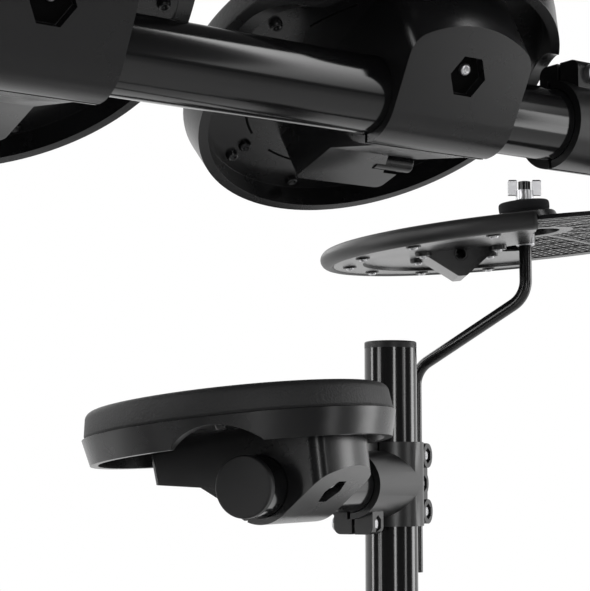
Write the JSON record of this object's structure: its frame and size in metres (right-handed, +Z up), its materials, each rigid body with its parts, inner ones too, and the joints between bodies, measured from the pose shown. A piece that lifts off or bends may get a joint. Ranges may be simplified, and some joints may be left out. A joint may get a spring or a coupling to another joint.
{
  "type": "electronic drum kit",
  "caption": "Electronic drum kit: a black tube rack on rubber feet carries rubber drum pads, rocking cymbal pads on bent rods, swinging arms and a tilting sound module.",
  "frame": {"origin": "middle of the kit's bounding box on the floor, under the rack", "axes": "+X to the player's left, along the crossbar; +Y from the audience to the player; +Z up"},
  "size_m": [1.1408, 0.6354, 0.973],
  "materials": {
    "tube_paint": "gloss black lacquer",
    "clamp_plastic": "satin black moulding",
    "cap_plastic": "satin black moulding",
    "foot_rubber": "matte black rubber",
    "bright_steel": "bright zinc plate",
    "plate_steel": "plain steel",
    "pad_rubber": "fine pebbled dark grey rubber",
    "shell_plastic": "satin black moulding",
    "bracket_plastic": "satin black moulding",
    "rod_paint": "satin black lacquer",
    "cymbal_plastic": "satin black moulding",
    "cymbal_rubber": "matte dark grey rubber",
    "felt": "pressed charcoal felt",
    "module_plastic": "fine textured black moulding",
    "knob_plastic": "semi-gloss black",
    "button_plastic": "pale grey keycap"
  },
  "bodies": {
    "rack": {"front_left_post": "tube_paint", "post_caps": "cap_plastic", "post_feet": "foot_rubber", "rear_left_post": "tube_paint", "front_right_post": "tube_paint", "rear_right_post": "tube_paint", "crossbar": "tube_paint", "left_side_bar": "tube_paint", "rack_clamps": "clamp_plastic", "rack_clamp_bolts": "bright_steel", "right_side_bar": "tube_paint", "module_bracket": "rod_paint"},
    "left_arm": {"left_arm_clamp": "clamp_plastic", "left_arm_bolts": "bright_steel", "left_arm_tube": "tube_paint", "left_arm_plug": "cap_plastic"},
    "right_arm": {"right_arm_clamp": "clamp_plastic", "right_arm_bolts": "bright_steel", "right_arm_tube": "tube_paint", "right_arm_plug": "cap_plastic"},
    "left_tom": {"left_tom_head": "pad_rubber", "left_tom_shell": "shell_plastic", "left_tom_hardware": "plate_steel", "left_tom_bracket": "bracket_plastic"},
    "snare": {"snare_head": "pad_rubber", "snare_shell": "shell_plastic", "snare_hardware": "plate_steel", "snare_bracket": "bracket_plastic"},
    "right_tom": {"right_tom_head": "pad_rubber", "right_tom_shell": "shell_plastic", "right_tom_hardware": "plate_steel", "right_tom_bracket": "bracket_plastic"},
    "floor_tom": {"floor_tom_head": "pad_rubber", "floor_tom_shell": "shell_plastic", "floor_tom_hardware": "plate_steel", "floor_tom_bracket": "bracket_plastic"},
    "hihat_stand": {"hihat_rod": "rod_paint", "hihat_fittings": "bright_steel"},
    "hihat_cymbal": {"hihat_bow": "cymbal_plastic", "hihat_rubber": "cymbal_rubber", "hihat_trigger_box": "cymbal_plastic", "hihat_felts": "felt"},
    "ride_stand": {"ride_rod": "rod_paint", "ride_fittings": "bright_steel"},
    "ride_cymbal": {"ride_bow": "cymbal_plastic", "ride_rubber": "cymbal_rubber", "ride_trigger_box": "cymbal_plastic", "ride_felts": "felt"},
    "crash_stand": {"crash_rod": "rod_paint", "crash_fittings": "bright_steel"},
    "crash_cymbal": {"crash_bow": "cymbal_plastic", "crash_rubber": "cymbal_rubber", "crash_trigger_box": "cymbal_plastic", "crash_felts": "felt"},
    "module": {"module_case": "module_plastic"},
    "module_dial": {"module_dial": "knob_plastic"},
    "module_volume_knob": {"module_volume_knob": "knob_plastic"},
    "module_power_button": {"module_power_button": "button_plastic"},
    "module_click_button": {"module_click_button": "button_plastic"},
    "module_kit_button": {"module_kit_button": "button_plastic"}
  },
  "joints": [
    {"name": "left_tom_tilt", "type": "hinge", "parent": "rack", "child": "left_tom", "pos_m": [0.1111, -0.09493, 0.751], "axis": [-1, 0, 0], "range_deg": [-27.5, 35]},
    {"name": "right_tom_tilt", "type": "hinge", "parent": "rack", "child": "right_tom", "pos_m": [-0.1111, -0.09493, 0.751], "axis": [-1, 0, 0], "range_deg": [-27.5, 35]},
    {"name": "left_arm_swing", "type": "hinge", "parent": "rack", "child": "left_arm", "pos_m": [0.3416, 0.22667, 0.56], "axis": [0, 0, 1], "range_deg": [-40, 40]},
    {"name": "snare_tilt", "type": "hinge", "parent": "left_arm", "child": "snare", "pos_m": [0.19162, 0.1433, 0.56], "axis": [-0.874, -0.4859, 0], "range_deg": [-25, 35]},
    {"name": "right_arm_swing", "type": "hinge", "parent": "rack", "child": "right_arm", "pos_m": [-0.3416, 0.22667, 0.56], "axis": [0, 0, 1], "range_deg": [-30, 40]},
    {"name": "floor_tom_tilt", "type": "hinge", "parent": "right_arm", "child": "floor_tom", "pos_m": [-0.19162, 0.1433, 0.56], "axis": [-0.874, 0.4859, 0], "range_deg": [-25, 35]},
    {"name": "hihat_rod_turn", "type": "hinge", "parent": "left_arm", "child": "hihat_stand", "pos_m": [0.38443, 0.25048, 0.56], "axis": [0, 0, 1], "range_deg": [-40, 40]},
    {"name": "hihat_rock", "type": "hinge", "parent": "hihat_stand", "child": "hihat_cymbal", "pos_m": [0.41978, 0.16598, 0.7561], "axis": [-0.575, -0.8181, 0], "range_deg": [-9, 4], "stiffness_Nm_per_rad": 8, "springref_deg": -1.38},
    {"name": "ride_rod_turn", "type": "hinge", "parent": "right_arm", "child": "ride_stand", "pos_m": [-0.38443, 0.25048, 0.56], "axis": [0, 0, 1], "range_deg": [-40, 40]},
    {"name": "ride_rock", "type": "hinge", "parent": "ride_stand", "child": "ride_cymbal", "pos_m": [-0.41978, 0.16598, 0.7561], "axis": [-0.575, 0.8181, 0], "range_deg": [-9, 4], "stiffness_Nm_per_rad": 8, "springref_deg": -1.38},
    {"name": "crash_rod_turn", "type": "hinge", "parent": "rack", "child": "crash_stand", "pos_m": [0.319, -0.09493, 0.751], "axis": [0, 0, 1], "range_deg": [-40, 40]},
    {"name": "crash_rock", "type": "hinge", "parent": "crash_stand", "child": "crash_cymbal", "pos_m": [0.37539, -0.16711, 0.9471], "axis": [-0.866, -0.5, 0], "range_deg": [-9, 4], "stiffness_Nm_per_rad": 8, "springref_deg": -1.38},
    {"name": "module_tilt", "type": "hinge", "parent": "rack", "child": "module", "pos_m": [-0.4, -0.09493, 0.605], "axis": [-1, 0, 0], "range_deg": [-20, 25]},
    {"name": "module_dial_turn", "type": "hinge", "parent": "module", "child": "module_dial", "pos_m": [-0.343, -0.07475, 0.66044], "axis": [0, 0.4677, 0.8839], "continuous": true},
    {"name": "module_volume_turn", "type": "hinge", "parent": "module", "child": "module_volume_knob", "pos_m": [-0.473, -0.10375, 0.67579], "axis": [0, 0.4677, 0.8839], "range_deg": [-150, 150]},
    {"name": "module_power_button_press", "type": "slide", "parent": "module", "child": "module_power_button", "axis": [0, -0.4677, -0.8839], "range_m": [0, 0.0015], "stiffness_N_per_m": 600},
    {"name": "module_click_button_press", "type": "slide", "parent": "module", "child": "module_click_button", "axis": [0, -0.4677, -0.8839], "range_m": [0, 0.0015], "stiffness_N_per_m": 600},
    {"name": "module_kit_button_press", "type": "slide", "parent": "module", "child": "module_kit_button", "axis": [0, -0.4677, -0.8839], "range_m": [0, 0.0015], "stiffness_N_per_m": 600}
  ]
}
